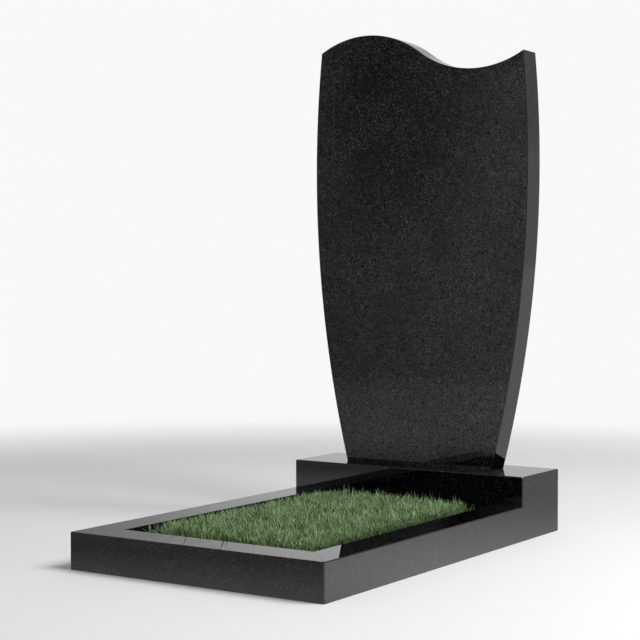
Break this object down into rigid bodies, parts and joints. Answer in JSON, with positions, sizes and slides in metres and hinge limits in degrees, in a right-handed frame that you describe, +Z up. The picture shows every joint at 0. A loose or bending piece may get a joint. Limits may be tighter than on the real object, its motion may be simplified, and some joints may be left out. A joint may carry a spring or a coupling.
{
  "type": "headstone",
  "caption": "Polished black granite headstone with a wave-cut top, standing on a plinth behind a low kerb that frames a bed of grass.",
  "frame": {"origin": "on the ground, in the middle of the footprint of kerb and plinth together", "axes": "+Z up; -Y towards the front kerb, the way the face of the stone looks; +X to the right, seen from the front"},
  "size_m": [0.64, 1.035, 1.2203],
  "materials": {
    "granite": "polished",
    "turf": "matte"
  },
  "bodies": {
    "root": {"slab": "granite", "plinth": "granite", "kerb_front": "granite", "kerb_left": "granite", "kerb_right": "granite", "turf": "turf"}
  },
  "joints": []
}
